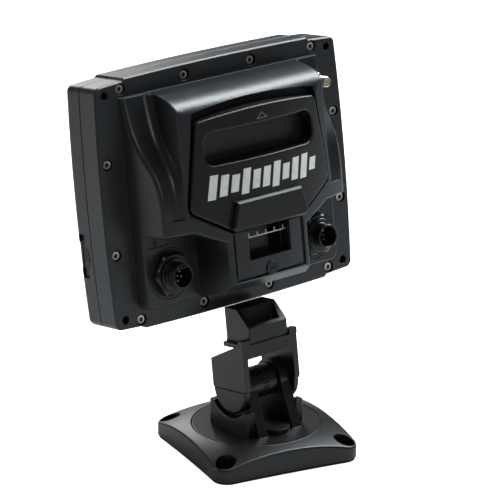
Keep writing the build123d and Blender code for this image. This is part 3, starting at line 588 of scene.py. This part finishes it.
def runTree(name, tree, values, startMesh, place=displayPlace, facet=32.0):
    holder = link(bpy.data.objects.new(name + "Points", startMesh))
    grow = holder.modifiers.new("grow", "NODES")
    grow.node_group = tree
    for item in tree.interface.items_tree:
        if item.in_out == "INPUT" and item.name in values:
            grow[item.identifier] = values[item.name]
    evaluated = holder.evaluated_get(bpy.context.evaluated_depsgraph_get())
    grown = bpy.data.meshes.new_from_object(evaluated)
    bpy.data.objects.remove(holder)
    work = bmesh.new()
    work.from_mesh(grown)
    sharpenEdges(work, facet)
    work.transform(place)
    mesh = bpy.data.meshes.new(name)
    work.to_mesh(mesh)
    work.free()
    return link(bpy.data.objects.new(name, mesh))


def pointMesh(points):
    mesh = bpy.data.meshes.new("points")
    mesh.from_pydata([tuple(point) for point in points], [], [])
    return mesh


def copiesTree():
    # one copy of a small piece at every point, each turned by a random amount about its depth
    tree, source, output = newTree("copiesAtPoints", [
        ("Piece", "NodeSocketObject"), ("Turn", "NodeSocketFloat"), ("Seed", "NodeSocketInt"),
        ("Size", "NodeSocketFloat"), ("Material", "NodeSocketMaterial")])
    piece = tree.nodes.new("GeometryNodeObjectInfo")
    chance = tree.nodes.new("FunctionNodeRandomValue")
    chance.data_type = "FLOAT"
    turn = tree.nodes.new("ShaderNodeCombineXYZ")
    euler = tree.nodes.new("FunctionNodeEulerToRotation")
    copies = tree.nodes.new("GeometryNodeInstanceOnPoints")
    links = tree.links
    links.new(source.outputs["Piece"], piece.inputs["Object"])
    links.new(source.outputs["Turn"], chance.inputs[3])
    links.new(source.outputs["Seed"], chance.inputs["Seed"])
    links.new(chance.outputs[1], turn.inputs["Y"])
    links.new(turn.outputs["Vector"], euler.inputs["Euler"])
    links.new(source.outputs["Geometry"], copies.inputs["Points"])
    links.new(piece.outputs["Geometry"], copies.inputs["Instance"])
    links.new(euler.outputs["Rotation"], copies.inputs["Rotation"])
    links.new(source.outputs["Size"], copies.inputs["Scale"])
    endTree(tree, copies.outputs["Instances"], source, output)
    return tree


def patternPiece(name, profile, segments, shapeOf=None, closed=False):
    work = bmesh.new()
    lathe(work, profile, (0, 0), segments, shapeOf, closed)
    bmesh.ops.recalc_face_normals(work, faces=work.faces)
    mesh = bpy.data.meshes.new(name)
    work.to_mesh(mesh)
    work.free()
    return link(bpy.data.objects.new(name, mesh))


copies = copiesTree()
screwLook = {"head": 2.6, "shank": 1.45, "socket": 2.5, "socketDepth": 1.15, "shade": 0.5,
             "edge": 0.35, "seed": 7}


def headScrews():
    boxes = islandBoxes("housing_screws")
    look = screwLook
    top = boxes[0][1].y
    start = boxes[0][0].y - top
    head = look["head"]
    socket = hexReach(look["socket"])

    def reach(angle, radius):
        return socket(angle, radius) if radius < 1.6 and radius != look["shank"] else radius

    pattern = patternPiece("screwPattern", [
        (0, start), (look["shank"], start), (look["shank"], -1.5), (head - 0.1, -1.5), (head, -1.4),
        (head, -look["edge"]), (head - 0.12, -0.16), (head - look["edge"], 0), (1.62, 0), (1.5, -0.08),
        (1.49, -look["socketDepth"]), (0, -look["socketDepth"])], 36, reach)
    points = [((low.x + high.x) / 2, top, (low.z + high.z) / 2) for low, high in boxes]
    piece = runTree("headScrews", copies, {
        "Piece": pattern, "Turn": math.tau, "Seed": look["seed"], "Size": 1.0,
        "Material": finishes["stainless"]}, pointMesh(points), facet=28.0)
    bpy.data.objects.remove(pattern)
    finishPiece(piece, ["housing_screws"])
    # painted shade: a black hex fill sunk in each screw socket stands in for the socket's shadow
    profile = [(0, -1.1), (1.45, -1.1), (1.45, -look["shade"]), (0, -look["shade"] - 0.15)]
    fill = patternPiece("shadePattern", profile, 36, hexReach(look["socket"] - 0.02))
    shade = runTree("socketShade", copies, {
        "Piece": fill, "Turn": math.tau, "Seed": look["seed"], "Size": 1.0, "Material": inks["black"]},
        pointMesh(points))
    bpy.data.objects.remove(fill)
    return finishPiece(shade, [], inks["black"], "display", "stainless")


def contactPins():
    for nodeName, pieceName in (("power_pins", "powerPins"), ("sonar_pins", "sonarPins")):
        boxes = islandBoxes(nodeName)
        low, high = boxes[0]
        reach = (high.x - low.x) / 2
        length = high.y - low.y
        profile = [(0, -length), (reach, -length), (reach, -0.45), (reach * 0.86, -0.2),
                   (reach * 0.5, -0.04), (0, 0)]
        pattern = patternPiece("pinPattern", profile, 20)
        points = [((a.x + b.x) / 2, b.y, (a.z + b.z) / 2) for a, b in boxes]
        piece = runTree(pieceName, copies, {
            "Piece": pattern, "Turn": 0.0, "Seed": 1, "Size": 1.0, "Material": finishes["gold_pins"]},
            pointMesh(points))
        bpy.data.objects.remove(pattern)
        finishPiece(piece, [nodeName])


headScrews()
contactPins()
print("screws and pins done")

bandLook = {"count": 11, "pitch": 7.2, "width": 5.0, "height": 14.0, "middle": 6.6, "lean": -0.2,
            "crown": 200.0, "thick": 0.5, "lift": 0.12}


def latchCrown():
    return max(point.y for point in localPoints("latch_handle") if point.z > 2)


def barTree():
    tree, source, output = newTree("echoBars", [
        ("Count", "NodeSocketInt"), ("Pitch", "NodeSocketFloat"), ("Width", "NodeSocketFloat"),
        ("Height", "NodeSocketFloat"), ("Thick", "NodeSocketFloat"), ("Lean", "NodeSocketFloat"),
        ("Crown", "NodeSocketFloat"), ("Material", "NodeSocketMaterial")])
    links = tree.links
    values = source.outputs
    line = tree.nodes.new("GeometryNodeMeshLine")
    links.new(values["Count"], line.inputs["Count"])
    step = tree.nodes.new("ShaderNodeCombineXYZ")
    links.new(values["Pitch"], step.inputs["X"])
    links.new(step.outputs["Vector"], line.inputs["Offset"])
    start = tree.nodes.new("ShaderNodeCombineXYZ")
    span = mathNode(tree, "SUBTRACT", values["Count"], 1.0)
    span = mathNode(tree, "MULTIPLY", span, values["Pitch"])
    links.new(mathNode(tree, "MULTIPLY", span, -0.5), start.inputs["X"])
    links.new(start.outputs["Vector"], line.inputs["Start Location"])
    index = tree.nodes.new("GeometryNodeInputIndex").outputs["Index"]
    wave = mathNode(tree, "SINE", mathNode(tree, "MULTIPLY", index, 1.13))
    swell = mathNode(tree, "ADD", mathNode(tree, "MULTIPLY", mathNode(tree, "ABSOLUTE", wave), 0.5), 0.5)
    size = tree.nodes.new("ShaderNodeCombineXYZ")
    links.new(values["Width"], size.inputs["X"])
    links.new(values["Thick"], size.inputs["Y"])
    links.new(mathNode(tree, "MULTIPLY", swell, values["Height"]), size.inputs["Z"])
    bar = tree.nodes.new("GeometryNodeMeshCube")
    bar.inputs["Vertices X"].default_value = 3
    copiesNode = tree.nodes.new("GeometryNodeInstanceOnPoints")
    links.new(line.outputs["Mesh"], copiesNode.inputs["Points"])
    links.new(bar.outputs["Mesh"], copiesNode.inputs["Instance"])
    links.new(size.outputs["Vector"], copiesNode.inputs["Scale"])
    real = endTree(tree, copiesNode.outputs["Instances"], source, output)
    place = tree.nodes.new("GeometryNodeInputPosition")
    parts = tree.nodes.new("ShaderNodeSeparateXYZ")
    links.new(place.outputs["Position"], parts.inputs["Vector"])
    leaning = mathNode(tree, "ADD", parts.outputs["X"],
                       mathNode(tree, "MULTIPLY", parts.outputs["Z"], values["Lean"]))
    square = mathNode(tree, "SUBTRACT", mathNode(tree, "MULTIPLY", values["Crown"], values["Crown"]),
                      mathNode(tree, "MULTIPLY", leaning, leaning))
    sag = mathNode(tree, "SUBTRACT", mathNode(tree, "SQRT", square), values["Crown"])
    moved = tree.nodes.new("ShaderNodeCombineXYZ")
    links.new(leaning, moved.inputs["X"])
    links.new(mathNode(tree, "ADD", parts.outputs["Y"], sag), moved.inputs["Y"])
    links.new(parts.outputs["Z"], moved.inputs["Z"])
    shift = tree.nodes.new("GeometryNodeSetPosition")
    paint = [node for node in tree.nodes if node.bl_idname == "GeometryNodeSetMaterial"][0]
    links.new(real.outputs["Geometry"], shift.inputs["Geometry"])
    links.new(moved.outputs["Vector"], shift.inputs["Position"])
    links.new(shift.outputs["Geometry"], paint.inputs["Geometry"])
    return tree


def echoBand():
    look = bandLook
    values = {"Count": look["count"], "Pitch": look["pitch"], "Width": look["width"],
              "Height": look["height"], "Thick": look["thick"], "Lean": look["lean"],
              "Crown": look["crown"], "Material": inks["white"]}
    lift = Matrix.Translation((0, latchCrown() - look["thick"] / 2 + look["lift"], look["middle"]))
    piece = runTree("echoBand", barTree(), values, pointMesh([(0, 0, 0)]), displayPlace @ lift)
    return finishPiece(piece, [], inks["white"], "latch", "latch_plastic")


echoBand()


def inkLine(work, points, width, near, far, closed=False):
    # a raised line through (across, up) points, between two depths
    runs = list(zip(points, points[1:] + points[:1])) if closed else list(zip(points, points[1:]))
    for start, end in runs:
        along = Vector((end[0] - start[0], end[1] - start[1]))
        side = Vector((-along.y, along.x)).normalized() * width / 2
        along = along.normalized() * width / 2 * 0.9
        corners = [(start[0] - along.x + side.x, start[1] - along.y + side.y),
                   (end[0] + along.x + side.x, end[1] + along.y + side.y),
                   (end[0] + along.x - side.x, end[1] + along.y - side.y),
                   (start[0] - along.x - side.x, start[1] - along.y - side.y)]
        lower = [work.verts.new((x, near, z)) for x, z in corners]
        upper = [work.verts.new((x, far, z)) for x, z in corners]
        work.faces.new(lower)
        work.faces.new(upper)
        for k in range(4):
            work.faces.new([lower[k], lower[k - 1], upper[k - 1], upper[k]])


def liftArrow():
    work = bmesh.new()
    crown = latchCrown()
    inkLine(work, [(-3.6, 39.6), (3.6, 39.6), (0, 42.8)], 0.45, crown - 0.3, crown + 0.08, closed=True)
    piece = placedPiece("liftArrow", work)
    return finishPiece(piece, [], inks["grey"], "latch", "latch_plastic")


def arcPoints(centre, radius, start, end, count):
    angles = [math.radians(start + (end - start) * k / count) for k in range(count + 1)]
    return [(centre[0] + radius * math.cos(a), centre[1] + radius * math.sin(a)) for a in angles]


keyMarks = {
    "pages_key": [([(-3, -1.6), (1.4, -1.6), (1.4, 1.2), (-3, 1.2)], True),
                  ([(-1.4, 2.1), (3, 2.1), (3, -0.6)], False)],
    "menu_key": [([(-2.6, 1.5), (2.6, 1.5)], False), ([(-2.6, 0), (2.6, 0)], False),
                 ([(-2.6, -1.5), (2.6, -1.5)], False)],
    "cursor_pad": [([(-1.7, 8), (0, 10), (1.7, 8)], False), ([(-1.7, -8), (0, -10), (1.7, -8)], False),
                   ([(8, -1.7), (10, 0), (8, 1.7)], False), ([(-8, -1.7), (-10, 0), (-8, 1.7)], False),
                   (arcPoints((0, 0), 5.4, 0, 345, 23), True)],
    "enter_key": [([(-2.2, 0.1), (-0.5, -1.6), (2.6, 1.8)], False)],
    "exit_key": [([(-1.7, -1.7), (1.7, 1.7)], False), ([(-1.7, 1.7), (1.7, -1.7)], False)],
    "zoom_out_key": [([(-1.9, 0), (1.9, 0)], False)],
    "zoom_in_key": [([(-1.9, 0), (1.9, 0)], False), ([(0, -1.9), (0, 1.9)], False)],
    "power_key": [(arcPoints((0, 0), 2.4, -235, 55, 14), False), ([(0, 0.8), (0, 3.0)], False)]}


def keyPrints():
    for nodeName, strokes in keyMarks.items():
        low, high = localBox(nodeName)
        centre = Vector(((low.x + high.x) / 2, (low.z + high.z) / 2))
        work = bmesh.new()
        for points, closed in strokes:
            moved = [(centre.x + x, centre.y + z) for x, z in points]
            inkLine(work, moved, 0.55, low.y - 0.06, low.y + 0.3, closed)
        words = nodeName.split("_")[:-1]
        pieceName = words[0] + "".join(word.capitalize() for word in words[1:])
        piece = placedPiece(pieceName + "Print", work)
        finishPiece(piece, [], inks["white"], bodyOf[nodeName], slotOf[nodeName])
        smoothedCopy(nodeName, pieceName + "Cap", 30.0)


def lensBorder():
    # black print behind the lens, round the screen
    low, high = localBox("lens")
    panelLow, panelHigh = localBox("lcd_panel")
    near, far = high.y - 0.2, high.y - 0.08
    work = bmesh.new()
    outer = [(low.x + 0.3, low.z + 0.3), (high.x - 0.3, low.z + 0.3), (high.x - 0.3, high.z - 0.3),
             (low.x + 0.3, high.z - 0.3)]
    inner = [(panelLow.x + 4, panelLow.z + 3), (panelHigh.x - 4, panelLow.z + 3),
             (panelHigh.x - 4, panelHigh.z - 3), (panelLow.x + 4, panelHigh.z - 3)]
    loops = [[work.verts.new((x, depth, z)) for x, z in ring]
             for ring, depth in ((outer, near), (inner, near), (inner, far), (outer, far))]
    for first, second in zip(loops, loops[1:] + loops[:1]):
        for k in range(4):
            work.faces.new([first[k - 1], first[k], second[k], second[k - 1]])
    return finishPiece(placedPiece("lensBorder", work), [], inks["black"], "display", "lens_glass")


liftArrow()
keyPrints()
lensBorder()
print("prints done")

ribLook = {"count": 5, "pitch": 1.5, "width": 5.2}


def doorRibs():
    low, high = localBox("card_door")
    look = ribLook
    work = bmesh.new()
    boxIn(work, (-0.3, -look["width"] / 2, -0.28), (0.25, look["width"] / 2, 0.28))
    bmesh.ops.bevel(work, geom=work.edges[:], offset=0.12, segments=2, affect="EDGES")
    mesh = bpy.data.meshes.new("ribPattern")
    work.to_mesh(mesh)
    work.free()
    pattern = link(bpy.data.objects.new("ribPattern", mesh))
    middle = (low.z + high.z) / 2
    points = [(high.x, (low.y + high.y) / 2 + 0.8, middle + (k - (look["count"] - 1) / 2) * look["pitch"])
              for k in range(look["count"])]
    piece = runTree("doorRibs", copies, {"Piece": pattern, "Turn": 0.0, "Seed": 1, "Size": 1.0,
                                         "Material": finishes["black_plastic"]}, pointMesh(points))
    bpy.data.objects.remove(pattern)
    return finishPiece(piece, [], finishes["black_plastic"], "card_door", "black_plastic")


doorRibs()
print("ribs done")
